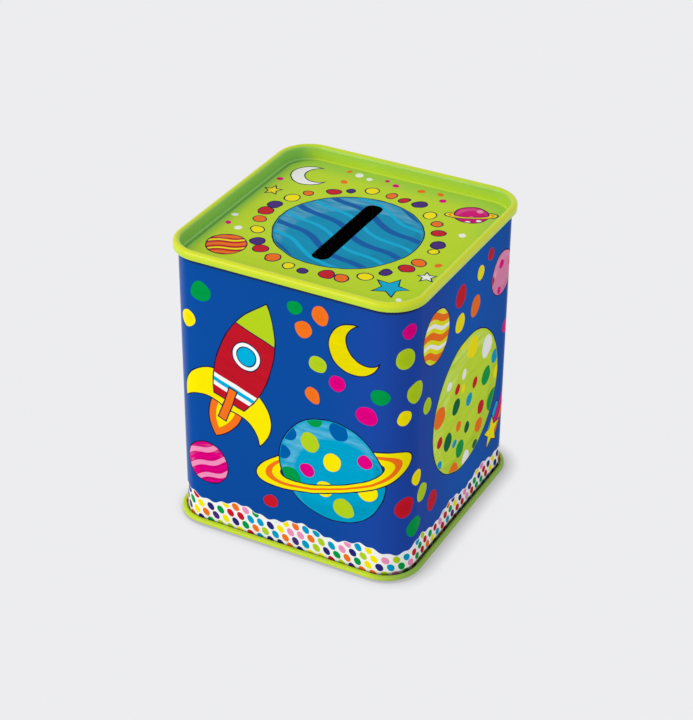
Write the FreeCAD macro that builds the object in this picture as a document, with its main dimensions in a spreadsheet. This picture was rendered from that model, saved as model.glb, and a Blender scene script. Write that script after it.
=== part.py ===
"""Square tin money box: a wrapped, lock-seamed wall, a rolled-on base and a lift-off plug lid.

Millimetres. +Z is up, the origin is the centre of the underside, and -Y is the front.
Every piece is one sheet of tinplate, so each section is drawn as runs and bends of that sheet.
"""

import FreeCAD
import Part
import Sketcher

import math
import os

# Driving dimensions: alias, value, meaning
SIZES = [
    ("sheet_thickness", 0.28, "tinplate"),
    ("body_width", 72, "across the flats, outside the wall"),
    ("corner_radius", 9, "outside the wall, in plan"),
    ("overall_height", 88, "underside to the top of the lid rim"),
    ("press_gap", 0.06, "air left between pressed layers"),
    ("panel_margin", 1.5, "panel edge outside the corner centres, where a section begins"),
    ("lid_clearance", 0.12, "body wall to plug wall, each side"),
    ("lid_overhang", 1.4, "lid rim outside the body wall"),
    ("lid_recess", 4.3, "rim top down to the lid panel"),
    ("lid_foot", 0.5, "slope at the foot of the plug wall"),
    ("rim_skirt", 1.2, "straight part of the rim's outside"),
    ("rim_tuck", 0.33, "width of each flat that turns the rim's lower edge in"),
    ("rim_tuck_turn", 36, "degrees, at each such flat"),
    ("slot_length", 35, "coin slot, along Y"),
    ("slot_width", 5.2, "coin slot, along X"),
    ("slot_corner", 2.2, "coin slot"),
    ("hem_depth", 1.8, "turned-out fold at the mouth"),
    ("hem_headroom", 1.2, "mouth below the top of the lid rim"),
    ("seam_foot", 3, "height where the side seam starts"),
    ("seam_head", 83, "height where the side seam stops, clear of the plug"),
    ("seam_edge", 24, "outer fold of the side seam, from the middle of the back"),
    ("seam_width", 4, "side seam"),
    ("seam_hook", 2.7, "straight part of each seam hook"),
    ("joggle_radius", 0.45, "step down into the side seam"),
    ("joggle_turn", 60, "degrees"),
    ("base_overhang", 1.7, "base roll outside the body wall"),
    ("base_roll_radius", 0.8, "outside of the base roll"),
    ("base_roll_turn", 150, "degrees, from the roll's outer side over to its edge"),
    ("base_roll_foot", 0.8, "slope from the floor up to the roll's outer side"),
    ("base_recess", 1.9, "underside of the base panel above the floor"),
    ("flange_reach", 1.0, "flange outside the wall, inside the base roll"),
]

PLAN = FreeCAD.Rotation()
SECTION = FreeCAD.Rotation(FreeCAD.Vector(1, 0, 0), 90)
UP = FreeCAD.Vector(0, 0, 1)
LEFT = 1
RIGHT = -1
RIM_TUCK_FLATS = 3

doc = FreeCAD.newDocument("money_box")


class Measure:
    """A size that carries both its value and the sheet expression it comes from."""

    def __init__(self, value, text=None):
        self.value = value
        self.text = text or str(value)

    def __add__(self, other):
        return Measure(self.value + other.value, f"({self.text} + {other.text})")

    def __sub__(self, other):
        return Measure(self.value - other.value, f"({self.text} - {other.text})")

    def __mul__(self, other):
        return Measure(self.value * other.value, f"({self.text} * {other.text})")

    def __truediv__(self, other):
        return Measure(self.value / other.value, f"({self.text} / {other.text})")

    def sine(self):
        return Measure(math.sin(math.radians(self.value)), f"sin({self.text})")

    def cosine(self):
        return Measure(math.cos(math.radians(self.value)), f"cos({self.text})")

    def tangent(self):
        return self.sine() / self.cosine()


def write_sheet():
    """Puts the driving dimensions in a spreadsheet and returns them by alias."""
    sheet = doc.addObject("Spreadsheet::Sheet", "sizes")
    measures = {}
    for row, (alias, value, meaning) in enumerate(SIZES, start=1):
        sheet.set(f"A{row}", meaning)
        sheet.set(f"B{row}", str(value))
        sheet.setAlias(f"B{row}", alias)
        measures[alias] = Measure(value, f"sizes.{alias}")
    doc.recompute()
    return measures


SIZE = write_sheet()
ZERO = Measure(0)
ONE = Measure(1)
TWO = Measure(2)
THREE = Measure(3)
EIGHTH_TURN = Measure(45)
QUARTER_TURN = Measure(90)
HALF_TURN = Measure(180)
SHEET = SIZE["sheet_thickness"]
GAP = SIZE["press_gap"]
HEIGHT = SIZE["overall_height"]
CORNER = SIZE["corner_radius"]
WALL = SIZE["body_width"] / TWO
WALL_INSIDE = WALL - SHEET
CORNER_CENTRE = WALL - CORNER
PANEL_EDGE = CORNER_CENTRE + SIZE["panel_margin"]
LID_PANEL = HEIGHT - SIZE["lid_recess"]


def direction(degrees):
    angle = math.radians(degrees)
    return FreeCAD.Vector(math.cos(angle), math.sin(angle), 0)


class Strip:
    """A chain of straight runs, round bends and sharp folds in a sketch, every size bound to the sheet.

    The chain follows the face of the tinplate that shows. close() draws the face behind it.
    """

    def __init__(self, name, view, start, heading):
        self.sketch = doc.addObject("Sketcher::SketchObject", name)
        self.sketch.Placement.Rotation = view
        self.start = start
        self.point = FreeCAD.Vector(start[0].value, start[1].value, 0)
        self.heading = Measure(heading)
        self.free_end = None
        self.steps = []

    def constrain(self, *terms):
        return self.sketch.addConstraint(Sketcher.Constraint(*terms))

    def bind(self, measure, *terms):
        index = self.constrain(*terms, measure.value)
        self.sketch.setExpression(f"Constraints[{index}]", measure.text)

    def bind_angle(self, degrees, piece):
        index = self.constrain("Angle", piece, math.radians(degrees.value))
        self.sketch.setExpression(f"Constraints[{index}]", f"{degrees.text} * 1 deg")

    def begin(self, line):
        """Fixes the chain's first point."""
        self.bind(self.start[0], "DistanceX", -1, 1, line, 1)
        if self.start[1].value:
            self.bind(self.start[1], "DistanceY", -1, 1, line, 1)
        else:
            self.constrain("PointOnObject", line, 1, -1)

    def aim(self, line):
        """Fixes the way a line runs, where no bend before it does."""
        if self.heading.value % 180 == 0:
            self.constrain("Horizontal", line)
        elif self.heading.value % 180 == 90:
            self.constrain("Vertical", line)
        else:
            self.bind_angle(self.heading, line)

    def turn_heading(self, side, turn):
        self.heading = self.heading + turn if side == LEFT else self.heading - turn

    def run(self, length):
        end = self.point + direction(self.heading.value) * length.value
        line = self.sketch.addGeometry(Part.LineSegment(self.point, end))
        if not self.free_end:
            self.begin(line)
            self.aim(line)
        elif self.steps[-1][0] == "bend":
            self.constrain("Tangent", *self.free_end, line, 1)
        else:
            self.constrain("Coincident", *self.free_end, line, 1)
            self.aim(line)
        self.bind(length, "Distance", line)
        self.free_end = (line, 2)
        self.point = end
        self.steps.append(("run", length, None, None))

    def bend(self, radius, side, turn=QUARTER_TURN):
        """A round bend, after a run."""
        first = self.heading.value - side * QUARTER_TURN.value
        last = first + side * turn.value
        centre = self.point - direction(first) * radius.value
        limits = sorted((math.radians(first), math.radians(last)))
        arc = self.sketch.addGeometry(Part.ArcOfCircle(Part.Circle(centre, UP, radius.value), *limits))
        near, far = (1, 2) if side == LEFT else (2, 1)
        self.constrain("Tangent", *self.free_end, arc, near)
        self.bind(radius, "Radius", arc)
        self.bind_angle(turn, arc)
        self.free_end = (arc, far)
        self.point = centre + direction(last) * radius.value
        self.turn_heading(side, turn)
        self.steps.append(("bend", radius, side, turn))

    def fold(self, side, turn=QUARTER_TURN):
        """A sharp change of direction between two runs."""
        self.turn_heading(side, turn)
        self.steps.append(("fold", None, side, turn))

    def slope(self, length, side):
        """A quarter turn made by two folds with a slope between them."""
        self.fold(side, EIGHTH_TURN)
        self.run(length)
        self.fold(side, EIGHTH_TURN)

    def back_length(self, steps, index, side):
        """The length of a run on the face behind, which the folds at its ends make shorter or longer."""
        length = steps[index][1]
        for kind, _, fold_side, turn in steps[max(index - 1, 0):index + 2]:
            if kind == "fold":
                mitre = SHEET * (turn / TWO).tangent()
                length = length - mitre if fold_side == side else length + mitre
        return length

    def back_bend(self, radius, side, turn, flats):
        """A bend on the face behind: an arc, or so many flats where nothing shows."""
        if not flats:
            self.bend(radius, side, turn)
            return
        step = turn / Measure(flats)
        self.fold(side, step / TWO)
        for number in range(flats):
            self.run(radius * TWO * (step / TWO).sine())
            self.fold(side, step if number < flats - 1 else step / TWO)

    def close(self, side, flats=0):
        """Makes the chain the outline of a sheet that lies on one side of it."""
        steps = self.steps
        self.fold(side)
        self.run(SHEET)
        self.fold(side)
        forward = steps[:-3]
        for index in reversed(range(len(forward))):
            kind, size, step_side, turn = forward[index]
            if kind == "run":
                self.run(self.back_length(forward, index, side))
            elif kind == "fold":
                self.fold(-step_side, turn)
            else:
                radius = size - SHEET if step_side == side else size + SHEET
                self.back_bend(radius, -step_side, turn, flats)
        start = FreeCAD.Vector(self.start[0].value, self.start[1].value, 0)
        end = self.sketch.addGeometry(Part.LineSegment(self.point, start))
        self.constrain("Coincident", *self.free_end, end, 1)
        self.constrain("Coincident", end, 2, 0, 1)
        return self.sketch


def rounded_loop(name, half_x, half_y, corner):
    """A rectangle with round corners, drawn from the middle of its right side."""
    loop = Strip(name, PLAN, (half_x, ZERO), 90)
    loop.run(half_y - corner)
    for half in (half_x, half_y, half_x):
        loop.bend(corner, LEFT)
        loop.run((half - corner) * TWO)
    loop.bend(corner, LEFT)
    loop.run(half_y - corner)
    return loop.sketch


def extrude(name, sketch, bottom, height):
    sketch.setExpression("Placement.Base.z", bottom.text)
    block = doc.addObject("Part::Extrusion", name)
    block.Base = sketch
    block.DirMode = "Custom"
    block.Dir = UP
    block.setExpression("LengthFwd", height.text)
    block.Solid = True
    return block


def sweep_round(name, section, path):
    """Carries a section right round the wall."""
    ring = doc.addObject("Part::Sweep", name)
    ring.Sections = [section]
    ring.Spine = (path, [f"Edge{number + 1}" for number in range(len(path.Geometry))])
    ring.Solid = True
    return ring


def fuse(name, pieces):
    whole = doc.addObject("Part::MultiFuse", name)
    whole.Shapes = pieces
    whole.Refine = True
    return whole


def flat_panel(name, bottom):
    """The flat middle of a pressed panel, up to where its swept edge begins."""
    outline = rounded_loop(name + "_outline", PANEL_EDGE, PANEL_EDGE, SIZE["panel_margin"])
    return extrude(name, outline, bottom, SHEET)


def wall_plan():
    """The wall in plan: hooked at its start, wrapped once round, and hooked into itself at the back."""
    edge = SIZE["seam_edge"]
    hook = SIZE["seam_hook"]
    width = SIZE["seam_width"]
    inner_fold = SHEET / TWO + GAP
    outer_fold = inner_fold + SHEET
    lead = width + GAP * TWO
    bend = SIZE["joggle_radius"]
    turn = SIZE["joggle_turn"]
    drop = (SHEET + GAP) * THREE
    ramp = (drop - bend * TWO * (ONE - turn.cosine())) / turn.sine()
    joggle = bend * TWO * turn.sine() + ramp * turn.cosine()
    start = (edge - outer_fold - hook, WALL - SHEET * TWO - GAP)
    strip = Strip("wall_plan", PLAN, start, 0)
    strip.run(hook)
    strip.bend(inner_fold, RIGHT, HALF_TURN)
    strip.run(lead - outer_fold)
    strip.bend(bend, RIGHT, turn)
    strip.run(ramp)
    strip.bend(bend, LEFT, turn)
    strip.run(edge - lead - joggle + CORNER_CENTRE)
    for _ in range(3):
        strip.bend(CORNER, LEFT)
        strip.run(CORNER_CENTRE * TWO)
    strip.bend(CORNER, LEFT)
    strip.run(CORNER_CENTRE - edge + width - outer_fold)
    strip.bend(outer_fold, LEFT, HALF_TURN)
    strip.run(hook)
    return strip.close(LEFT)


def flange_section():
    """The foot of the wall, turned out into the base roll."""
    strip = Strip("flange_section", SECTION, (WALL_INSIDE, SIZE["seam_foot"]), -90)
    strip.run(SIZE["seam_foot"] - SHEET - GAP)
    strip.fold(LEFT)
    strip.run(SHEET + SIZE["flange_reach"])
    return strip.close(LEFT)


def hem_section():
    """The mouth of the wall, its edge folded out and down."""
    depth = SIZE["hem_depth"]
    mouth = HEIGHT - SIZE["hem_headroom"]
    strip = Strip("hem_section", SECTION, (WALL + GAP + SHEET, mouth - depth), 90)
    strip.run(depth)
    strip.fold(LEFT)
    strip.run(SHEET * TWO + GAP)
    strip.fold(LEFT)
    strip.run(mouth - SIZE["seam_head"])
    return strip.close(LEFT)


def make_body_wall(path):
    seamed = extrude("seamed_wall", wall_plan(), SIZE["seam_foot"], SIZE["seam_head"] - SIZE["seam_foot"])
    flange = sweep_round("flange", flange_section(), path)
    hem = sweep_round("hem", hem_section(), path)
    return fuse("body_wall", [seamed, flange, hem])


def base_section():
    """The base from its panel down into the well, out along the floor and over into the roll."""
    recess = SIZE["base_recess"]
    roll = SIZE["base_roll_radius"]
    rise = SIZE["base_roll_foot"] * EIGHTH_TURN.sine()
    well = WALL_INSIDE - GAP - SHEET
    strip = Strip("base_section", SECTION, (PANEL_EDGE, recess), 0)
    strip.run(well - PANEL_EDGE)
    strip.fold(RIGHT)
    strip.run(recess)
    strip.fold(LEFT)
    strip.run(WALL + SIZE["base_overhang"] - rise - well)
    strip.slope(SIZE["base_roll_foot"], LEFT)
    strip.run(roll - rise)
    strip.bend(roll, LEFT, SIZE["base_roll_turn"])
    return strip.close(LEFT, flats=4)


def make_base_panel(path):
    ring = sweep_round("base_ring", base_section(), path)
    return fuse("base_panel", [ring, flat_panel("base_flat", SIZE["base_recess"])])


def lid_section():
    """The lid from its panel up the plug wall, over the rim and in under the tucked edge."""
    plug = WALL_INSIDE - SIZE["lid_clearance"] - SHEET
    crown = (WALL + SIZE["lid_overhang"] - plug) / TWO
    rise = SIZE["lid_foot"] * EIGHTH_TURN.sine()
    strip = Strip("lid_section", SECTION, (PANEL_EDGE, LID_PANEL), 0)
    strip.run(plug - rise - PANEL_EDGE)
    strip.slope(SIZE["lid_foot"], LEFT)
    strip.run(HEIGHT - crown - LID_PANEL - rise)
    strip.bend(crown, RIGHT, HALF_TURN)
    strip.run(SIZE["rim_skirt"])
    for _ in range(RIM_TUCK_FLATS):
        strip.fold(RIGHT, SIZE["rim_tuck_turn"])
        strip.run(SIZE["rim_tuck"])
    return strip.close(RIGHT, flats=3)


def slot_punch():
    """A bar with the coin slot's outline, through the lid panel and out both sides."""
    outline = rounded_loop(
        "slot_outline", SIZE["slot_width"] / TWO, SIZE["slot_length"] / TWO, SIZE["slot_corner"]
    )
    return extrude("slot_punch", outline, LID_PANEL - SHEET - ONE, SHEET + TWO)


def make_lid(path):
    ring = sweep_round("lid_ring", lid_section(), path)
    blank = fuse("lid_blank", [ring, flat_panel("lid_flat", LID_PANEL - SHEET)])
    lid = doc.addObject("Part::Cut", "lid")
    lid.Base = blank
    lid.Tool = slot_punch()
    return lid


def check_document():
    """Stops if any feature failed or gave a bad shape."""
    for feature in doc.Objects:
        if "Invalid" in feature.State or "Error" in feature.State:
            raise RuntimeError(f"{feature.Name} failed: {feature.State}")
        shape = getattr(feature, "Shape", None)
        if shape is not None and (shape.isNull() or not shape.isValid()):
            raise RuntimeError(f"{feature.Name} has a bad shape")


def write_parts(pieces):
    os.makedirs("parts", exist_ok=True)
    for piece in pieces:
        piece.Label = piece.Name
        if len(piece.Shape.Solids) != 1:
            raise RuntimeError(f"{piece.Name} is not one solid")
        piece.Shape.exportStep(f"parts/{piece.Label}.step")
        print(piece.Label, round(piece.Shape.Volume, 2), "mm3", len(piece.Shape.Faces), "faces")


wall_path = rounded_loop("wall_path", WALL, WALL, CORNER)
pieces = [make_body_wall(wall_path), make_base_panel(wall_path), make_lid(wall_path)]
doc.recompute()
check_document()
write_parts(pieces)
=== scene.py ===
"""Finishes, light and camera for a square tin money box: printed wall, lime lid and base, bare tin inside.

The three sheets of the tin are shown as they are. The print is laid out flat, in millimetres, the way a
sheet is decorated before it is cut and folded, and each point of the wall looks up its place on that layout.
"""

import math
import random

import bpy
from mathutils import Matrix, Vector


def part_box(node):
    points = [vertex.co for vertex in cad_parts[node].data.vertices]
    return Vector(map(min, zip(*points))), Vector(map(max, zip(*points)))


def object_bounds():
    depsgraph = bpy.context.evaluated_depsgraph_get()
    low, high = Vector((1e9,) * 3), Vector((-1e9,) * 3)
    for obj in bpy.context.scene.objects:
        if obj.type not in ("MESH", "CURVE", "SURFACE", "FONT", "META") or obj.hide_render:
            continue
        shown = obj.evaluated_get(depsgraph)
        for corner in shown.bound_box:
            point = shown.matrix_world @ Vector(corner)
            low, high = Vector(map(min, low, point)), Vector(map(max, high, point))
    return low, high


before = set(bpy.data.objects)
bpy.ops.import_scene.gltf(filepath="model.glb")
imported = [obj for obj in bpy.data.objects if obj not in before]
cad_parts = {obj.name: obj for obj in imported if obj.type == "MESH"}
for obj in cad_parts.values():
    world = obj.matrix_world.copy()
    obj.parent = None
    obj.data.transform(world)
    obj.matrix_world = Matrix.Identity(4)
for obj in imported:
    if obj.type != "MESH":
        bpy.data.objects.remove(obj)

cad_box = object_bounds()

# Sizes of the tin, in millimetres
MM = 1000
HALF_WIDTH = 36
CORNER = 9
CORNER_CENTRE = HALF_WIDTH - CORNER
CORNER_RUN = CORNER * math.pi / 2
FACE_PITCH = 2 * CORNER_CENTRE + CORNER_RUN
REPEAT = 2 * FACE_PITCH
SHEET = 0.28
LID_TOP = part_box("lid")[1].z * MM
WALL_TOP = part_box("body_wall")[1].z * MM
LID_RECESS = 4.3
LID_PANEL = LID_TOP - LID_RECESS
BASE_PANEL = 1.9

# How the print is laid on
PRINT_EDGE = 0.1
SCUMBLE_EDGE = 1.2
OUTLINE = 0.36
OUTLINE_SCALE = 0.4
SWAY = 0.9
LOOSE_SWAY = 2.6
SWAY_SCALE = 0.11
BRUSH_STRETCH = (0.25, 1.4, 0)
BRUSH_SCALE = 0.4
BRUSH_DEPTH = -0.3
DRY_BRUSH_GAIN = 2.4
DRY_BRUSH_LOSS = 0.85

# Random layouts: tries for each disc, and how far a pebble strays, in shares of a step
TRIES_PER_DISC = 60
PEBBLE_STRAY = 0.2

# Shaded sides of a globe: which side, the share of its radius that stays clear, the inset and the tint
GLOBE_TILT = Vector((0.2, -0.26))
GLOBE_SIDES = ((1, 0.94, 0.6, 0.2), (-1, 1.02, 0.3, -0.4))

# Spots, belts and rings of planets
SPOT_ROOM = 1.3
SPOT_OVERHANG = 0.3
SPOT_INSET = 0.15
BELT_WAVE = 1.3
BELT_SWAY = 0.22
RING_HALVES = (1.56, 0.42)
RING_WIDTHS = (0.32, 0.09)

# Parts of the rocket, in 28ths of its hull's length. A round part is a place, aside and along, and a radius.
HULL_PARTS = 28
HULL_HALVES = (6.2, 17)
HULL_TAIL = 11
HULL_NOSE = 8.6
HULL_BELT = -7.6
HULL_STRIPES = (("white", 1.5), ("turquoise", 0.5))
FLAME = ((-7.2, -13), 11)
FLAME_RIM = 1.6
FIN = ((3, -13), 8)
FIN_HOLLOW = ((3.4, -20), 7.4)
PORTHOLE = ((0, 2.2), 3.3)
PORTHOLE_RIM = 1.1
KEEL_HALVES = (0.9, 4.2)

# The comet. Its streaks are in shares of its star's radius, and the turn is in degrees.
STREAKS = ("orange", "magenta", "turquoise")
STREAK_GAP = 0.52
STREAK_RADIUS = 0.2
COMET_TURN = 18

# The dotted band. Its top edge adds up waves: how many there are on the layout, their height and their shift.
BAND_TOP = 8.8
BAND_WAVES = ((1, 0.4, math.pi / 2), (7, 0.9, 0), (31, 0.32, 0))
BAND_COLUMNS = 42
BAND_PITCH = REPEAT / BAND_COLUMNS
BAND_ROW = 2.45
BAND_DOT = 1.1
BAND_DOT_SLANT = 0.25
BAND_DOT_STRETCH = 0.9
BAND_DOT_ROOM = 0.2
BAND_MARGIN = 0.25

# Places on the wall's layout: distance round from the middle of the front, and height
RIGHT_MIDDLE = FACE_PITCH
RINGED_PLANET = (14.5, 31)
ROCKET = (-12.5, 57)
MOON = (21, 71)
STRIPED_PLANET = (-25, 21)
SPOTTED_PLANET = (RIGHT_MIDDLE + 3, 38)
SPOTTED_RADIUS = 21
BELTED_PLANET = (RIGHT_MIDDLE - 18, 70)
PINK_PLANET = (RIGHT_MIDDLE + 24, 69)
PINK_RADIUS = 6.6
COMET = (RIGHT_MIDDLE + 22, 17)
COMET_TAIL = (RIGHT_MIDDLE + 30, 27)

# Discs that the loose dots on the wall keep clear of, with more for the ends of the ring and of the rocket
WALL_MOTIFS = [
    (*RINGED_PLANET, 18),
    (35, 40, 6),
    (-9, 24, 6),
    (*ROCKET, 14),
    (-8, 70, 9),
    (-20, 38, 12),
    (*MOON, 8),
    (*STRIPED_PLANET, 8),
    (*SPOTTED_PLANET, 23),
    (*BELTED_PLANET, 9),
    (*PINK_PLANET, 8),
    (*COMET, 7),
    (*COMET_TAIL, 5),
]

# Loose dots on the wall: how far they keep from the edges, and their deeper middles
DOTS_FROM_ENDS = 4
DOTS_ABOVE_BAND = 5.6
DOTS_BELOW_MOUTH = 7
DOT_RIM = 0.9
DOT_DEPTH = -0.18

# The sky's painted light round the layout: how far the violet painted sheen lags at its corner, and how
# strong it is
SHEEN_LAG = 0.25
SHEEN_SHARE = 0.9

# Places on the lid panel, from its middle. A star has a place, a radius, a turn and an ink.
LID_PLANET = 20.6
LID_BELT = 25
LID_BELT_ROOM = 3
LID_STRIPE_INSET = 0.2
LID_RINGED_PLANET = (25.5, 25)
LID_BELTED_PLANET = (-25.5, -22)
LID_MOON = (-25.5, 25)
LID_STARS = [
    ((24, -22), 4.6, 12, "turquoise"),
    ((30, -12.5), 2.2, 40, "white"),
    ((-30.5, 12), 2.4, 30, "yellow"),
]

# Discs that the small dots on the lid keep clear of
LID_MOTIFS = [
    (0, 0, LID_BELT + LID_BELT_ROOM),
    (*LID_RINGED_PLANET, 7),
    (*LID_BELTED_PLANET, 6),
    (*LID_MOON, 6),
    *((*centre, radius) for centre, radius, _, _ in LID_STARS),
]

# How much each finish mirrors, and how sharply
PRINT_SHINE = 0.004
LACQUER_SHINE = 0.03
RIM_VARNISH = 0.5
BASE_VARNISH = 0.25
CORNER_VARNISH = 0.3
VARNISH_ROUGHNESS = 0.16
LACQUER_ROUGHNESS = 0.06
PEEL_ROUGHNESS = 0.05
TIN_ROUGHNESS = 0.2
GRAIN_ROUGHNESS = 0.16

# Fine relief of the sheets
PEEL_SCALE = 0.9
WAVE_SCALE = 0.035
GRAIN_SCALE = 1.6
GRAIN_STRETCH = (2.4, 2.4, 0.12)
PEEL_RELIEF = 0.35
WAVE_RELIEF = 9
GRAIN_RELIEF = 0.25
RELIEF_UNIT = 0.00001

# Where finishes change on the wall. OUT is a distance outside the wall's outer face, below 0 inside it.
FACE_EDGE = 0.02
PRINTED_OUT = (-0.14, 0.06)
BARE_MOUTH = 0.2
WALL_CREASE = 1.55
WALL_CREASE_RISE = 0.8
UNDER_RIM = 3.9
CORNER_GLOSS = 3

# Where finishes change on the base
BASE_INSIDE_OUT = -0.9
BASE_FOLD = (0.9, 1.3)
BASE_FOLD_OUT = 1.1
BASE_CREASE = 0.9
BASE_CREASE_OUT = 0.4

# Where finishes change on the lid
LID_INSIDE_OUT = -1
PLUG_OUT = (-0.54, -0.06)
RIM_FOLD = 1.3
RIM_FOLD_OUT = 0.1
RIM_GLOSS_OUT = -1.3
RECESS_OUT = (-1.3, -0.3)
RECESS_LIP = 0.35
RECESS_MIDDLE = 1.8
PANEL_OUT = -1.2
BACK_REFLECTION_OUT = -6.5
LEFT_SHADE_OUT = -3.4
FOOT_OUT = (-1.9, -1.3)
FOOT_HEIGHT = 0.5

# Where the right, the left and the back of the tin begin and are reached, from its middle
RIGHT_SIDE = (26, 36)
LEFT_SIDE = (-28, -33)
BACK_SIDE = (10, 80 / 3)

# How far the painted shade in creases and on the right, the painted highlight on the base's fold, and the
# painted reflection and shade in the lid's recess cover the colour under them
CREASE_COVER = 0.4
CREASE_RIGHT = 0.5
UNDER_RIM_COVER = 0.75
BASE_HIGHLIGHT_SHARE = 0.5
BASE_SHADE_SHARE = 0.7
BASE_CREASE_COVER = 0.7
RECESS_REFLECTION_SHADE = 0.55
BACK_REFLECTION = 0.5
FOOT_COVER = 0.6
LIME_STROKES = (0.2, 0.6, 0.5)
LIME_STROKE_SCALE = 0.3

# Light and camera
PALE = (0.85, 0.85, 0.866, 1)
WHITE = (1, 1, 1, 1)
SHADOW = (0.47, 0.47, 0.478, 1)
SHADOW_REACH = 0.0075
SHADOW_MIDDLE = 0.757
SHADOW_SOFTNESS = 0.357
SHADOW_LEAN = 0.45
SHADOW_SAMPLES = 16
FLOOR_REACH = 6
FLOOR_DROP = 0.0002
FLOOR_GLOW = 0.98
SKY_LIGHT = 0.72
LAMP_BEARING = -34
LAMP_HEIGHT = 20
LAMP_DISTANCE = 1.2
LAMP_SIZE = 0.7
LAMP_POWER = 5.0
CAMERA_AZIMUTH = 27.72
CAMERA_ELEVATION = 31.63
CAMERA_ROLL = 0.464
CAMERA_DISTANCE = 581.1
CAMERA_AIM = (-0.139, -1.196)
FOCAL_PIXELS = 2054.3
LONG_SIDE_PIXELS = 720
SENSOR = 36
NEAREST_SEEN = 0.01


def ink(red, green, blue):
    """A colour given as screen values from 0 to 255, as the linear colour that a shader takes."""
    linear = []
    for value in (red, green, blue):
        share = value / 255
        linear.append(share / 12.92 if share <= 0.04045 else ((share + 0.055) / 1.055) ** 2.4)
    return (*linear, 1)


INK = {
    "outline": ink(24, 26, 70),
    "sky": ink(13, 77, 160),
    # Painted light in the sky: a violet painted sheen at a corner, and a lighter blue on the layout's second
    # face
    "painted_sheen": ink(34, 70, 166),
    "painted_fill_light": ink(8, 89, 186),
    "turquoise": ink(0, 178, 222),
    "sea": ink(0, 96, 172),
    "teal": ink(0, 160, 206),
    "red": ink(208, 26, 44),
    "orange": ink(250, 118, 30),
    "yellow": ink(255, 238, 4),
    "lemon": ink(255, 252, 30),
    "lime": ink(184, 214, 30),
    "leaf": ink(216, 248, 62),
    "green": ink(0, 158, 72),
    "forest": ink(0, 104, 66),
    "magenta": ink(232, 0, 132),
    "pink": ink(246, 150, 192),
    "purple": ink(74, 44, 128),
    "navy": ink(40, 40, 122),
    "white": ink(252, 252, 250),
}
CONFETTI = ("yellow", "red", "lime", "orange", "green", "magenta")
SPOTS = ("sea", "yellow", "green", "magenta", "lime")
PEBBLES = ("red", "white", "forest", "teal", "orange", "yellow", "green")
LID_DOTS = ("white", "magenta", "orange")
LID_PEBBLES = ("yellow", "purple", "red", "orange")
BAND_DOTS = ("red", "navy", "teal", "green", "lime", "orange", "pink", "yellow", "purple")

# Lacquer, its painted highlight, painted reflection and painted shade, the painted shade in creases, and bare
# tin
LIME = ink(203, 230, 48)
LIME_DEEP = ink(190, 223, 46)
LIME_HIGHLIGHT = ink(218, 230, 34)
LIME_REFLECTION_SHADE = ink(147, 210, 100)
LIME_SHADE = ink(116, 166, 86)
CREASE_SHADE = ink(34, 32, 16)
TIN_DARK = (0.52, 0.53, 0.54, 1)
TIN_BRIGHT = (0.70, 0.70, 0.69, 1)


def tinted(name, share):
    """An ink thinned with white, or deepened where the share is below 0."""
    target = 1 if share > 0 else 0
    return (*(value + (target - value) * abs(share) for value in INK[name][:3]), 1)


class Value:
    """A socket of a node tree. Arithmetic on it adds Math nodes."""

    def __init__(self, nodes, socket):
        self.nodes = nodes
        self.socket = socket

    def __add__(self, other):
        return self.nodes.math("ADD", self, other)

    def __radd__(self, other):
        return self.nodes.math("ADD", other, self)

    def __sub__(self, other):
        return self.nodes.math("SUBTRACT", self, other)

    def __rsub__(self, other):
        return self.nodes.math("SUBTRACT", other, self)

    def __mul__(self, other):
        return self.nodes.math("MULTIPLY", self, other)

    def __rmul__(self, other):
        return self.nodes.math("MULTIPLY", other, self)

    def __truediv__(self, other):
        return self.nodes.math("DIVIDE", self, other)

    def __neg__(self):
        return self * -1

    def __abs__(self):
        return self.nodes.math("ABSOLUTE", self)

    def length(self):
        return self.nodes.vector("LENGTH", self, output="Value")

    def split(self):
        parts = self.nodes.node("SeparateXYZ", None, {"Vector": self})
        return [Value(self.nodes, socket) for socket in parts.socket.node.outputs]


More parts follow.
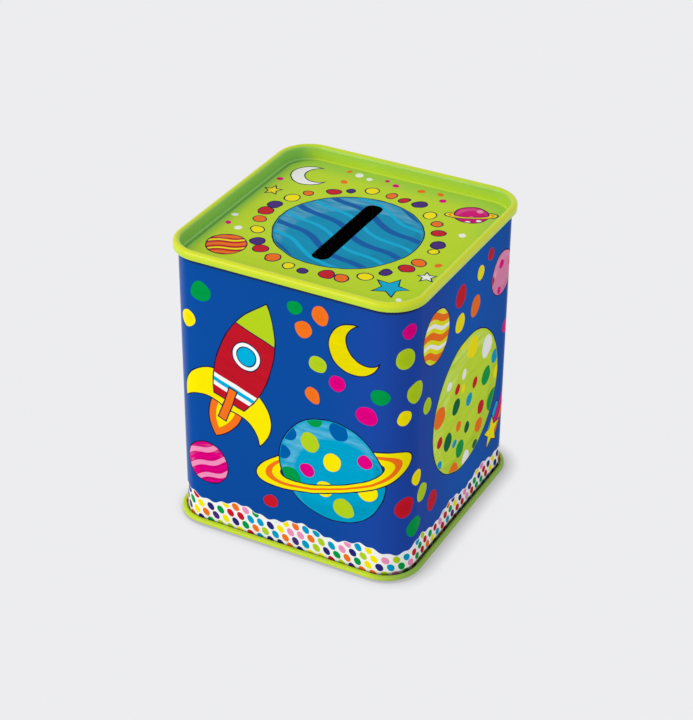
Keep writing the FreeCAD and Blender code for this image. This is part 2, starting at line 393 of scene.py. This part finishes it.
class Nodes:
    """A node tree that is built by expressions."""

    def __init__(self, tree):
        self.tree = tree
        tree.nodes.clear()

    def node(self, kind, settings=None, sockets=None, output=0):
        """A node of any kind. A socket takes a number, a colour or another node's value."""
        made = self.tree.nodes.new("ShaderNode" + kind)
        for name, setting in (settings or {}).items():
            if name == "stops":
                self.set_stops(made.color_ramp, setting)
            else:
                setattr(made, name, setting)
        for key, value in (sockets or {}).items():
            if isinstance(value, Value):
                self.tree.links.new(value.socket, made.inputs[key])
            else:
                made.inputs[key].default_value = value
        return Value(self, made.outputs[output]) if made.outputs else None

    def set_stops(self, ramp, colours):
        """Even steps of flat colour."""
        ramp.interpolation = "CONSTANT"
        while len(ramp.elements) < len(colours):
            ramp.elements.new(1)
        for number, colour in enumerate(colours):
            ramp.elements[number].position = number / len(colours)
            ramp.elements[number].color = colour

    def math(self, operation, *values, clamp=False):
        return self.node("Math", {"operation": operation, "use_clamp": clamp}, dict(enumerate(values)))

    def vector(self, operation, *values, output=0):
        return self.node("VectorMath", {"operation": operation}, dict(enumerate(values)), output)

    def mix(self, factor, below, above):
        return self.node("Mix", {"data_type": "RGBA"}, {0: factor, 6: below, 7: above}, 2)

    def noise(self, point, scale, detail=2, roughness=0.5, output=0):
        sockets = {"Vector": point, "Scale": scale, "Detail": detail, "Roughness": roughness}
        return self.node("TexNoise", None, sockets, output)

    def smaller(self, first, second):
        return self.math("MINIMUM", first, second)

    def larger(self, first, second):
        return self.math("MAXIMUM", first, second)

    def hypotenuse(self, first, second):
        return self.math("SQRT", self.math("MULTIPLY_ADD", first, first, second * second))

    def inside(self, shape, edge):
        """1 where a signed distance is below 0 and 0 where it is above, over an edge so wide."""
        return self.math("MULTIPLY_ADD", shape, -1 / edge, 0.5, clamp=True)

    def within(self, value, span, edge):
        """1 where a value lies between the ends of a span and 0 outside them, over an edge so wide."""
        low, high = span
        return self.inside(abs(value - (low + high) / 2) - (high - low) / 2, edge)

    def rise(self, value, span):
        """0 up to the start of a span and 1 from its end on."""
        start, end = span
        step = 1 / (end - start)
        return self.math("MULTIPLY_ADD", value, step, -start * step, clamp=True)


def place_in_tin(nodes):
    """The point in millimetres, in the sheet's own frame, so that a finish moves with its piece."""
    point = nodes.node("TexCoord", output="Object")
    return nodes.vector("MULTIPLY", point, (MM, MM, MM))


def outside_wall(nodes, point):
    """How far a point lies outside the wall's outer face, seen from above."""
    past = nodes.vector("SUBTRACT", nodes.vector("ABSOLUTE", point), (CORNER_CENTRE, CORNER_CENTRE, MM))
    return nodes.vector("MAXIMUM", past, (0, 0, 0)).length() - CORNER


def unwrapped(nodes, point):
    """The wall's point on the flat sheet: distance round from the middle of the front, and height.

    The layout covers two faces, and repeats on the other two.
    """
    x, y, z = point.split()
    side = nodes.math("ROUND", nodes.math("ARCTAN2", x, -y) / (math.pi / 2))
    turned = nodes.node(
        "VectorRotate", {"rotation_type": "Z_AXIS"}, {"Vector": point, "Angle": side * (-math.pi / 2)}
    )
    across, depth, _ = turned.split()
    straight = nodes.larger(nodes.smaller(across, CORNER_CENTRE), -CORNER_CENTRE)
    past = abs(across - straight)
    bend = nodes.math("ARCTAN2", past, -CORNER_CENTRE - depth) * CORNER
    run = straight + nodes.math("SIGN", across) * bend
    face = abs(nodes.math("MODULO", side, 2))
    return nodes.node("CombineXYZ", None, {"X": run + face * FACE_PITCH, "Y": z})


def scattered(seed, count, low, high, radii, clear_of, room):
    """Discs of random place and size in a rectangle, clear of each other and of the discs given."""
    draw = random.Random(seed)
    taken = list(clear_of)
    discs = []
    for _ in range(count * TRIES_PER_DISC):
        if len(discs) == count:
            break
        radius = draw.uniform(*radii)
        spot = (draw.uniform(low[0], high[0]), draw.uniform(low[1], high[1]))
        if all(math.dist(spot, other[:2]) > radius + other[2] + room for other in taken):
            taken.append((*spot, radius))
            discs.append((spot, radius))
    return discs


def ring_of_discs(seed, count, middle, spread, radii):
    """Discs at even steps round the centre, each a little out of line."""
    draw = random.Random(seed)
    discs = []
    for number in range(count):
        angle = 2 * math.pi * (number + draw.uniform(-PEBBLE_STRAY, PEBBLE_STRAY)) / count
        reach = middle + draw.uniform(-spread, spread)
        discs.append(((reach * math.cos(angle), reach * math.sin(angle)), draw.uniform(*radii)))
    return discs


def by_colour(discs, names):
    """Deals discs out to inks in turn."""
    return [(name, discs[number::len(names)]) for number, name in enumerate(names)]


class Print:
    """A flat picture painted colour over colour.

    A shape is a signed distance in millimetres, below 0 inside it.
    """

    def __init__(self, nodes, tin_point, sheet_point, ground):
        self.nodes = nodes
        stir = nodes.noise(tin_point, SWAY_SCALE, output="Color")
        sway = nodes.vector("SUBTRACT", stir, (0.5, 0.5, 0.5))
        self.point = nodes.vector("MULTIPLY_ADD", sway, (SWAY, SWAY, 0), sheet_point)
        self.loose_point = nodes.vector("MULTIPLY_ADD", sway, (LOOSE_SWAY, LOOSE_SWAY, 0), sheet_point)
        strokes = nodes.vector("MULTIPLY", sheet_point, BRUSH_STRETCH)
        self.brush = nodes.noise(strokes, BRUSH_SCALE, detail=5, roughness=0.65)
        self.dry_brush = nodes.math("MULTIPLY_ADD", self.brush, DRY_BRUSH_GAIN, -DRY_BRUSH_LOSS, clamp=True)
        self.line = nodes.math("MULTIPLY_ADD", nodes.noise(tin_point, OUTLINE_SCALE), OUTLINE, OUTLINE / 2)
        self.colour = ground

    def fill(self, shape, colour):
        self.colour = self.nodes.mix(self.nodes.inside(shape, PRINT_EDGE), self.colour, colour)

    def scumble(self, shape, colour):
        """Colour dragged on thinly, so that what is below shows through the brush marks."""
        cover = self.nodes.inside(shape, SCUMBLE_EDGE) * self.dry_brush
        self.colour = self.nodes.mix(cover, self.colour, colour)

    def draw(self, shape, colour, part=None):
        """A filled shape with an inked outline, or the part of it that lies in another shape."""
        outer = shape - self.line
        self.fill(self.both(outer, part) if part else outer, INK["outline"])
        self.fill(self.both(shape, part) if part else shape, colour)

    def brushed(self, name):
        """An ink laid on with a brush, deeper in places."""
        return self.nodes.mix(self.brush, tinted(name, BRUSH_DEPTH), INK[name])

    def at(self, centre, turn=0):
        """Distances across and along from a place on the sheet, turned so many degrees."""
        angle = math.radians(turn)
        across = Vector((math.cos(angle), math.sin(angle), 0))
        along = Vector((-math.sin(angle), math.cos(angle), 0))
        return [
            self.nodes.vector("DOT_PRODUCT", self.point, axis, output="Value") - axis.xy.dot(centre)
            for axis in (across, along)
        ]

    def both(self, first, second):
        """The part that two shapes share."""
        return self.nodes.larger(first, second)

    def without(self, shape, hole):
        return self.nodes.larger(shape, -hole)

    def disc(self, centre, radius):
        return self.nodes.vector("DISTANCE", self.point, (*centre, 0), output="Value") - radius

    def blobs(self, discs):
        """Loosely painted dots, as one shape."""
        shape = None
        for centre, radius in discs:
            dot = self.nodes.vector("DISTANCE", self.loose_point, (*centre, 0), output="Value") - radius
            shape = self.nodes.smaller(shape, dot) if shape else dot
        return shape

    def rings(self, centre, halves, widths, turn):
        """Flat rings about one middle line, seen at a slant, and the distance above their long axis."""
        across, along = self.at(centre, turn)
        unit = (across / halves[0], along / halves[1])
        reach = self.nodes.hypotenuse(*unit)
        slope = self.nodes.hypotenuse(unit[0] / halves[0], unit[1] / halves[1])
        aside = abs(reach - (1 - max(widths) / 2))
        stretch = reach / slope
        return [(aside - width / 2) * stretch for width in widths], along

    def star(self, centre, radius, turn, points=5, waist=0.46):
        across, along = self.at(centre, turn)
        half_turn = math.pi / points
        edge = (waist * math.cos(half_turn) - 1, waist * math.sin(half_turn))
        slant = math.atan2(-edge[0], edge[1])
        fold = self.nodes.math("PINGPONG", self.nodes.math("ARCTAN2", along, across), half_turn)
        reach = self.nodes.hypotenuse(across, along)
        return reach * self.nodes.math("COSINE", fold - slant) - radius * math.cos(slant)

    def crescent(self, centre, radius, bite, bite_radius):
        hollow = (centre[0] + bite[0], centre[1] + bite[1])
        return self.without(self.disc(centre, radius), self.disc(hollow, bite_radius))

    def stroke(self, start, end, radius):
        """A round-ended stroke."""
        run = Vector(end) - Vector(start)
        along, across = self.at(start, math.degrees(math.atan2(run.y, run.x)))
        beyond = along - self.nodes.larger(self.nodes.smaller(along, run.length), 0)
        return self.nodes.hypotenuse(beyond, across) - radius


def paint_globe(art, centre, radius, name):
    """An outlined disc of brushed colour, paler on its upper left and deeper on its lower right."""
    globe = art.disc(centre, radius)
    art.draw(globe, art.brushed(name))
    for side, clear_share, inset, tint in GLOBE_SIDES:
        clear = art.disc(Vector(centre) + GLOBE_TILT * radius * side, radius * clear_share)
        art.scumble(art.without(globe + inset, clear), tinted(name, tint))
    return globe


def paint_spots(art, globe, centre, radius, names, seed, count, radii):
    """Dots on a globe, cut off at its edge."""
    low = (centre[0] - radius, centre[1] - radius)
    high = (centre[0] + radius, centre[1] + radius)
    spots = scattered(seed, count, low, high, radii, [], SPOT_ROOM)
    on_globe = [
        (spot, size) for spot, size in spots if math.dist(spot, centre) < radius + size * SPOT_OVERHANG
    ]
    for name, discs in by_colour(on_globe, names):
        art.fill(art.both(art.blobs(discs), globe + SPOT_INSET), INK[name])


def paint_stripes(art, globe, centre, turn, pitch, name, second, shares=(0.36, 0.2)):
    """Wavy belts in two inks across a globe, each a share of the pitch wide."""
    across, along = art.at(centre, turn)
    sway = art.nodes.math("SINE", across * (BELT_WAVE / pitch)) * (pitch * BELT_SWAY)
    phase = art.nodes.math("PINGPONG", along + sway, pitch)
    art.fill(art.both(phase - pitch * shares[0], globe), INK[name])
    art.fill(art.both(pitch * (1 - shares[1]) - phase, globe), INK[second])


def paint_ringed_planet(art, centre, radius, turn, name, spots):
    """A spotted globe with a striped ring round it. Spots are inks, seed, count and radii."""
    halves = [radius * share for share in RING_HALVES]
    (ring, stripe), above = art.rings(centre, halves, RING_WIDTHS, turn)
    art.draw(ring, INK["yellow"])
    art.fill(stripe, INK["orange"])
    globe = paint_globe(art, centre, radius, name)
    paint_spots(art, globe, centre, radius, *spots)
    art.draw(ring, INK["yellow"], above)
    art.fill(art.both(stripe, above), INK["orange"])


def paint_rocket_hull(art, aside, along, unit):
    """The rocket's hull, with stripes across it and a nose in another ink."""
    half_width, half_length = (half * unit for half in HULL_HALVES)
    bow = (half_length ** 2 + half_width ** 2) / (2 * half_width)
    sides = art.nodes.hypotenuse(aside - (half_width - bow), along) - bow
    hull = art.both(sides, -HULL_TAIL * unit - along)
    art.draw(hull, art.brushed("red"))
    from_belt = abs(along - HULL_BELT * unit)
    for name, half in HULL_STRIPES:
        art.fill(art.both(hull, from_belt - half * unit), INK[name])
    nose = HULL_NOSE * unit - along
    art.fill(art.both(hull, nose - OUTLINE), INK["outline"])
    art.fill(art.both(hull, nose), INK["lime"])


def paint_rocket(art, centre, turn, length):
    """A round-nosed rocket with a porthole, fins and a flame, sized by its hull's length."""
    unit = length / HULL_PARTS
    across, along = art.at(centre, turn)
    aside = abs(across)

    def rounded(place, radius):
        """A disc on each side of the rocket's middle line."""
        return art.nodes.hypotenuse(aside - place[0] * unit, along - place[1] * unit) - radius * unit

    flame = rounded(*FLAME)
    art.draw(flame, INK["orange"])
    art.fill(flame + FLAME_RIM * unit, INK["yellow"])
    art.draw(art.without(rounded(*FIN), rounded(*FIN_HOLLOW)), INK["yellow"])
    paint_rocket_hull(art, aside, along, unit)
    porthole = rounded(*PORTHOLE)
    art.draw(porthole, INK["white"])
    art.draw(porthole + PORTHOLE_RIM * unit, INK["turquoise"])
    keel = abs(along + HULL_TAIL * unit + unit) - KEEL_HALVES[1] * unit
    art.draw(art.both(aside - KEEL_HALVES[0] * unit, keel), INK["orange"])


def paint_comet(art, head, tail, radius):
    """A star with three coloured streaks behind it."""
    run = (Vector(tail) - Vector(head)).normalized()
    aside = Vector((-run.y, run.x)) * radius * STREAK_GAP
    for number, name in enumerate(STREAKS):
        shift = aside * (number - 1)
        end = Vector(tail) + shift - run * radius * abs(number - 1)
        art.draw(art.stroke(Vector(head) + shift, end, radius * STREAK_RADIUS), INK[name])
    art.draw(art.star(head, radius, COMET_TURN), INK["yellow"])


def band_top(nodes, run):
    """The height of the band's uneven top edge, which is lower on the right-hand face than on the front."""
    height = BAND_TOP
    for waves, swell, shift in BAND_WAVES:
        height = nodes.math("SINE", run * (waves * 2 * math.pi / REPEAT) + shift) * swell + height
    return height


def paint_band(art):
    """White ground with small dots round the foot of the wall, in rows half a column out of step."""
    nodes = art.nodes
    run, height = art.at((0, 0))
    band = height - band_top(nodes, run)
    art.fill(band, INK["white"])
    row = nodes.math("FLOOR", height / BAND_ROW)
    column = run / BAND_PITCH + row * 0.5
    cell = nodes.math("FLOOR", column)
    dot_x = (column - cell - 0.5) * BAND_PITCH
    middle = (row + 0.5) * BAND_ROW
    dot_y = height - middle
    index = nodes.math("FLOORED_MODULO", cell, BAND_COLUMNS) + row * BAND_COLUMNS
    luck = nodes.node("TexWhiteNoise", {"noise_dimensions": "1D"}, {"W": index})
    dot = nodes.hypotenuse(dot_x + dot_y * BAND_DOT_SLANT, dot_y * BAND_DOT_STRETCH) - BAND_DOT
    inks = nodes.node("ValToRGB", {"stops": [INK[name] for name in BAND_DOTS]}, {"Fac": luck})
    past_top = middle + BAND_DOT_ROOM - band_top(nodes, run - dot_x)
    art.fill(art.both(art.both(dot, band + BAND_MARGIN), past_top), inks)


def sky_colour(nodes, sheet_point):
    """Blue that turns lighter on the layout's second face as painted light, with a violet painted sheen at
    the corner before it.
    """
    lap = sheet_point.split()[0] * (2 * math.pi / REPEAT)
    painted_fill_light = nodes.math("POWER", 0.5 - nodes.math("COSINE", lap) * 0.5, 2)
    painted_sheen = nodes.math("POWER", nodes.math("SINE", lap - SHEEN_LAG, clamp=True), 2) * SHEEN_SHARE
    return nodes.mix(painted_sheen, nodes.mix(painted_fill_light, INK["sky"], INK["painted_fill_light"]), INK["painted_sheen"])


def paint_loose_dots(art):
    """Dots all over the sky, each with a slightly deeper middle."""
    low = (-FACE_PITCH / 2 + DOTS_FROM_ENDS, BAND_TOP + DOTS_ABOVE_BAND)
    high = (low[0] + REPEAT - 2 * DOTS_FROM_ENDS, WALL_TOP - DOTS_BELOW_MOUTH)
    dots = scattered(seed=5, count=44, low=low, high=high, radii=(2.1, 3.3), clear_of=WALL_MOTIFS, room=2)
    for name, discs in by_colour(dots, CONFETTI):
        dot = art.blobs(discs)
        art.fill(dot, INK[name])
        art.scumble(dot + DOT_RIM, tinted(name, DOT_DEPTH))


def paint_wall(nodes, tin_point, sheet_point):
    """The picture on the wall: planets, a rocket and dots on a blue sky, over a dotted white band."""
    art = Print(nodes, tin_point, sheet_point, sky_colour(nodes, sheet_point))
    paint_loose_dots(art)
    spots = (SPOTS, 11, 16, (2.2, 3.6))
    paint_ringed_planet(art, RINGED_PLANET, radius=16, turn=20, name="turquoise", spots=spots)
    paint_rocket(art, ROCKET, turn=-20, length=36)
    art.draw(art.crescent(MOON, radius=7.4, bite=(3.4, 2.2), bite_radius=6), art.brushed("yellow"))
    striped = paint_globe(art, STRIPED_PLANET, radius=6.6, name="magenta")
    paint_stripes(art, striped, STRIPED_PLANET, turn=24, pitch=2.1, name="pink", second="magenta")
    spotted = paint_globe(art, SPOTTED_PLANET, SPOTTED_RADIUS, "leaf")
    paint_spots(art, spotted, SPOTTED_PLANET, SPOTTED_RADIUS, PEBBLES, seed=4, count=36, radii=(1.3, 3.6))
    belted = paint_globe(art, BELTED_PLANET, radius=7.8, name="lemon")
    paint_stripes(art, belted, BELTED_PLANET, turn=-18, pitch=2.8, name="orange", second="white")
    pink = paint_globe(art, PINK_PLANET, PINK_RADIUS, "pink")
    paint_spots(art, pink, PINK_PLANET, PINK_RADIUS, ("magenta", "red"), seed=9, count=8, radii=(0.9, 1.7))
    paint_comet(art, COMET, COMET_TAIL, radius=5)
    paint_band(art)
    return art.colour


def paint_lid_planet(art):
    """A banded planet round the coin slot, in a belt of pebbles."""
    pebbles = ring_of_discs(seed=2, count=28, middle=LID_BELT, spread=0.8, radii=(1.2, 2.1))
    for name, discs in by_colour(pebbles, LID_PEBBLES):
        art.draw(art.blobs(discs), INK[name])
    planet = paint_globe(art, (0, 0), LID_PLANET, "teal")
    belts = {"turn": -24, "pitch": 5.2, "name": "sea", "second": "turquoise", "shares": (0.2, 0.12)}
    paint_stripes(art, planet + LID_STRIPE_INSET, (0, 0), **belts)


def paint_lid(nodes, tin_point, ground):
    """The picture on the lid panel: a large planet, and small planets, stars and dots about it."""
    art = Print(nodes, tin_point, nodes.vector("MULTIPLY", tin_point, (1, 1, 0)), ground)
    dots = scattered(
        seed=8, count=16, low=(-33, -27), high=(31, 33), radii=(0.7, 1.2), clear_of=LID_MOTIFS, room=1
    )
    for name, discs in by_colour(dots, LID_DOTS):
        art.fill(art.blobs(discs), INK[name])
    paint_lid_planet(art)
    spots = (("pink", "white"), 3, 6, (0.7, 1.2))
    paint_ringed_planet(art, LID_RINGED_PLANET, radius=4.6, turn=24, name="magenta", spots=spots)
    belted = paint_globe(art, LID_BELTED_PLANET, radius=5.4, name="red")
    paint_stripes(art, belted, LID_BELTED_PLANET, turn=30, pitch=2.2, name="orange", second="yellow")
    art.draw(art.crescent(LID_MOON, radius=5.6, bite=(2.4, 1.4), bite_radius=4.6), INK["white"])
    for centre, radius, turn, name in LID_STARS:
        art.draw(art.star(centre, radius, turn), INK[name])
    return art.colour


def lacquered_sheet(nodes, point, colour, painted, shine, varnish):
    """One shader for a sheet that is lacquered or printed on one side and bare tin on the other.

    Varnish is the share of full gloss that lies over the colour.
    """
    peel = nodes.noise(point, PEEL_SCALE, detail=2)
    waviness = nodes.noise(point, WAVE_SCALE, detail=1)
    drawn_out = nodes.vector("MULTIPLY", point, GRAIN_STRETCH)
    grain = nodes.noise(drawn_out, GRAIN_SCALE, detail=4, roughness=0.7)
    bare = 1 - painted
    lacquer_gloss = peel * PEEL_ROUGHNESS + LACQUER_ROUGHNESS
    tin_gloss = grain * GRAIN_ROUGHNESS + TIN_ROUGHNESS
    height = waviness * WAVE_RELIEF + peel * painted * PEEL_RELIEF + grain * bare * GRAIN_RELIEF
    normal = nodes.node("Bump", None, {"Strength": 1, "Distance": RELIEF_UNIT, "Height": height})
    tin = nodes.mix(grain, TIN_DARK, TIN_BRIGHT)
    shader = nodes.node(
        "BsdfPrincipled",
        None,
        {
            "Base Color": nodes.mix(painted, tin, colour),
            "Metallic": bare,
            "Roughness": lacquer_gloss * painted + tin_gloss * bare,
            "Normal": normal,
            "Specular IOR Level": shine,
            "Coat Weight": varnish * painted,
            "Coat Roughness": VARNISH_ROUGHNESS,
        },
    )
    nodes.node("OutputMaterial", None, {"Surface": shader})


def material_nodes(name):
    material = bpy.data.materials.new(name)
    material.use_nodes = True
    return material, Nodes(material.node_tree)


def right_hand(nodes, point):
    """0 at the front and 1 on the right-hand side, where the painted shade at the tin's foot is deeper."""
    return nodes.rise(point.split()[0], RIGHT_SIDE)


def left_hand(nodes, point):
    """1 along the left-hand side and 0 elsewhere."""
    return nodes.rise(point.split()[0], LEFT_SIDE)


def back_hand(nodes, point):
    """1 along the back and 0 over the front half."""
    return nodes.rise(point.split()[1], BACK_SIDE)


def printed_wall():
    """The wall: print on its outer face, bare tin elsewhere, painted shade in its creases, gloss at two
    opposite corners.
    """
    material, nodes = material_nodes("printed_wall")
    point = place_in_tin(nodes)
    out = outside_wall(nodes, point)
    height = point.split()[2]
    outer_face = nodes.within(out, PRINTED_OUT, FACE_EDGE)
    painted = outer_face * nodes.inside(height - (WALL_TOP - BARE_MOUTH), edge=0.1)
    sheet_point = unwrapped(nodes, point)
    colour = paint_wall(nodes, point, sheet_point)
    # Painted shade: deeper at the wall's foot, more so on the right-hand side, and under the lid's rim
    right = right_hand(nodes, point)
    foot = nodes.inside(height - right * WALL_CREASE_RISE - WALL_CREASE, edge=0.6)
    crease_shade = foot * (right * CREASE_RIGHT + CREASE_COVER)
    under_rim_shade = nodes.inside(LID_TOP - UNDER_RIM - height, edge=0.4)
    dark = nodes.larger(crease_shade, under_rim_shade * UNDER_RIM_COVER)
    from_corner = abs(sheet_point.split()[0] - FACE_PITCH / 2)
    varnish = nodes.inside(FACE_PITCH - CORNER_GLOSS - from_corner, edge=2) * CORNER_VARNISH
    lacquered_sheet(nodes, point, nodes.mix(dark, colour, CREASE_SHADE), painted, PRINT_SHINE, varnish)
    return material


def lime_colour(nodes, point, highlight):
    """Lime lacquer with faint brush marks, yellower over a fold as a painted highlight."""
    stretched = nodes.vector("MULTIPLY", point, LIME_STROKES)
    strokes = nodes.noise(stretched, LIME_STROKE_SCALE, detail=4, roughness=0.6)
    return nodes.mix(highlight, nodes.mix(strokes, LIME_DEEP, LIME), LIME_HIGHLIGHT)


def base_lacquer():
    """The base: lime lacquer, yellower on its roll as a painted highlight, dimmer on the right and darker
    where the roll meets the wall as painted shade, bare tin inside.
    """
    material, nodes = material_nodes("base_lacquer")
    point = place_in_tin(nodes)
    out = outside_wall(nodes, point)
    height = point.split()[2]
    upper_side = nodes.inside(BASE_PANEL + SHEET / 2 - height, FACE_EDGE)
    in_tin = nodes.inside(out - BASE_INSIDE_OUT, FACE_EDGE) * upper_side
    # Painted highlight: yellower lime on the roll's fold
    fold = nodes.within(height, BASE_FOLD, edge=0.5) * nodes.inside(BASE_FOLD_OUT - out, edge=0.4)
    # Painted shade where the roll meets the wall
    crease_shade = nodes.inside(out - BASE_CREASE_OUT, edge=0.3) * nodes.inside(BASE_CREASE - height, edge=0.3)
    lime = lime_colour(nodes, point, fold * BASE_HIGHLIGHT_SHARE)
    # Painted shade: the lime dimmer on the right-hand side
    shaded_lime = nodes.mix(right_hand(nodes, point) * BASE_SHADE_SHARE, lime, LIME_SHADE)
    colour = nodes.mix(crease_shade * BASE_CREASE_COVER, shaded_lime, CREASE_SHADE)
    varnish = nodes.inside(-out, edge=0.5) * BASE_VARNISH
    lacquered_sheet(nodes, point, colour, 1 - in_tin, LACQUER_SHINE, varnish)
    return material


def lid_bare(nodes, out, height):
    """1 where the lid is bare tin: under its panel, and on the side of the plug that meets the wall."""
    under_panel = nodes.inside(height - (LID_PANEL - SHEET / 2), FACE_EDGE)
    underside = nodes.inside(out - LID_INSIDE_OUT, FACE_EDGE) * under_panel
    plug_outside = nodes.within(out, PLUG_OUT, FACE_EDGE) * nodes.inside(height - WALL_TOP, FACE_EDGE)
    return nodes.larger(underside, plug_outside)


def lid_reflection_shade(nodes, out, height, left, back):
    """How green the lime is on the recess wall and panel's edge, as painted reflection of the rim and painted
    shade.
    """
    below_lip = nodes.inside(height - (LID_TOP - RECESS_LIP), edge=0.4)
    recess_wall = nodes.within(out, RECESS_OUT, edge=0.3) * below_lip
    upper_wall = nodes.inside(LID_PANEL + RECESS_MIDDLE - height, edge=3) * RECESS_REFLECTION_SHADE
    on_wall = recess_wall * nodes.larger(left, upper_wall)
    back_edge = nodes.inside(BACK_REFLECTION_OUT - out, edge=5) * back * BACK_REFLECTION
    left_edge = nodes.inside(LEFT_SHADE_OUT - out, edge=4) * left
    on_panel = nodes.larger(back_edge, left_edge) * nodes.inside(out - PANEL_OUT, edge=0.4)
    return nodes.larger(on_wall, on_panel)


def lid_lacquer():
    """The lid: printed lime lacquer, yellower on the rim as a painted highlight, greener in the recess as
    painted reflection and shade, darker at the recess's foot as painted shade, bare tin below.
    """
    material, nodes = material_nodes("lid_lacquer")
    point = place_in_tin(nodes)
    out = outside_wall(nodes, point)
    height = point.split()[2]
    left = left_hand(nodes, point)
    # Painted highlight: yellower lime on the rim's fold
    fold = nodes.inside(LID_TOP - RIM_FOLD - height, edge=0.6) * nodes.inside(RIM_FOLD_OUT - out, edge=0.3)
    # Painted reflection and shade: greener lime on the recess wall and along the panel's left and back edges
    reflection_shade = lid_reflection_shade(nodes, out, height, left, back_hand(nodes, point))
    lime = nodes.mix(reflection_shade, lime_colour(nodes, point, fold), LIME_REFLECTION_SHADE)
    # Painted shade at the foot of the recess's left wall
    low = nodes.inside(height - (LID_PANEL + FOOT_HEIGHT), edge=0.5)
    foot_shade = nodes.within(out, FOOT_OUT, edge=0.8) * low * left * FOOT_COVER
    colour = nodes.mix(foot_shade, paint_lid(nodes, point, lime), INK["forest"])
    varnish = nodes.inside(RIM_GLOSS_OUT - out, edge=0.6) * RIM_VARNISH
    lacquered_sheet(nodes, point, colour, 1 - lid_bare(nodes, out, height), LACQUER_SHINE, varnish)
    return material


def dress(node, material):
    node.data.materials.clear()
    node.data.materials.append(material)


def seen_as_background(nodes):
    """1 for what the camera sees, straight or in gloss, and 0 for what lights the tin."""
    path = nodes.node("LightPath").socket.node.outputs
    camera, glossy, through = (
        Value(nodes, path[f"Is {kind} Ray"]) for kind in ("Camera", "Glossy", "Transmission")
    )
    return nodes.larger(nodes.larger(camera, glossy), through)


def towards_lamp():
    """The direction from the tin to the lamp."""
    bearing = math.radians(LAMP_BEARING)
    height = math.radians(LAMP_HEIGHT)
    level = Vector((math.sin(bearing), -math.cos(bearing), 0))
    return level * math.cos(height) + Vector((0, 0, math.sin(height)))


def floor_paper():
    """Pale paper, darker close to the tin, and more so on the side away from the lamp."""
    material, nodes = material_nodes("floor_paper")
    paper = nodes.node("BsdfDiffuse", None, {"Color": PALE})
    lean = (towards_lamp() * SHADOW_LEAN + Vector((0, 0, 1))).normalized()
    # The occlusion node heeds a leaning normal only where it comes through a link
    leaning = nodes.node("CombineXYZ", None, dict(enumerate(lean)))
    near = {"Distance": SHADOW_REACH, "Normal": leaning}
    open_share = nodes.node("AmbientOcclusion", {"samples": SHADOW_SAMPLES}, near, "AO")
    lit = nodes.inside(SHADOW_MIDDLE - open_share, SHADOW_SOFTNESS)
    glow = nodes.node("Emission", None, {"Color": nodes.mix(lit, SHADOW, PALE)})
    faint_shadow = nodes.node("MixShader", None, {0: FLOOR_GLOW, 1: paper, 2: glow})
    surface = nodes.node("MixShader", None, {0: seen_as_background(nodes), 1: paper, 2: faint_shadow})
    nodes.node("OutputMaterial", None, {"Surface": surface})
    return material


def make_floor():
    """A wide flat sheet, a hair below the tin."""
    mesh = bpy.data.meshes.new("floor")
    corners = [(x * FLOOR_REACH, y * FLOOR_REACH, 0) for x, y in ((-1, -1), (1, -1), (1, 1), (-1, 1))]
    mesh.from_pydata(corners, [], [(0, 1, 2, 3)])
    floor = bpy.data.objects.new("floor", mesh)
    floor.location.z = cad_box[0].z - FLOOR_DROP
    bpy.context.scene.collection.objects.link(floor)
    mesh.materials.append(floor_paper())


def make_world():
    """Even light all round. What the camera and the gloss see of it is the pale background."""
    world = bpy.data.worlds.new("studio")
    world.use_nodes = True
    bpy.context.scene.world = world
    nodes = Nodes(world.node_tree)
    lit = nodes.node("Background", None, {"Color": WHITE, "Strength": SKY_LIGHT})
    pale = nodes.node("Background", None, {"Color": PALE, "Strength": 1})
    surface = nodes.node("MixShader", None, {0: seen_as_background(nodes), 1: lit, 2: pale})
    nodes.node("OutputWorld", None, {"Surface": surface})


def make_lamp():
    """A soft box in front, low on the left."""
    lamp = bpy.data.lights.new("soft_box", "AREA")
    lamp.size = LAMP_SIZE
    lamp.energy = LAMP_POWER
    holder = bpy.data.objects.new("soft_box", lamp)
    holder.location = towards_lamp() * LAMP_DISTANCE + Vector((0, 0, LID_TOP / 2 / MM))
    holder.rotation_euler = towards_lamp().to_track_quat("Z", "Y").to_euler()
    bpy.context.scene.collection.objects.link(holder)


def make_camera():
    """A camera aimed near the middle of the tin, placed in millimetres from there."""
    turn = (
        Matrix.Rotation(math.radians(CAMERA_AZIMUTH), 3, "Z")
        @ Matrix.Rotation(math.radians(90 - CAMERA_ELEVATION), 3, "X")
        @ Matrix.Rotation(math.radians(CAMERA_ROLL), 3, "Z")
    )
    place = Vector((0, 0, LID_TOP / 2)) + turn @ Vector((*CAMERA_AIM, CAMERA_DISTANCE))
    camera = bpy.data.cameras.new("camera")
    camera.sensor_width = SENSOR
    camera.lens = SENSOR * FOCAL_PIXELS / LONG_SIDE_PIXELS
    camera.clip_start = NEAREST_SEEN
    holder = bpy.data.objects.new("camera", camera)
    holder.matrix_world = Matrix.Translation(place / MM) @ turn.to_4x4()
    bpy.context.scene.collection.objects.link(holder)
    bpy.context.scene.camera = holder


dress(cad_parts["body_wall"], printed_wall())
dress(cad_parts["base_panel"], base_lacquer())
dress(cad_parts["lid"], lid_lacquer())
make_floor()
make_world()
make_lamp()
make_camera()
bpy.context.scene.view_settings.view_transform = "Standard"
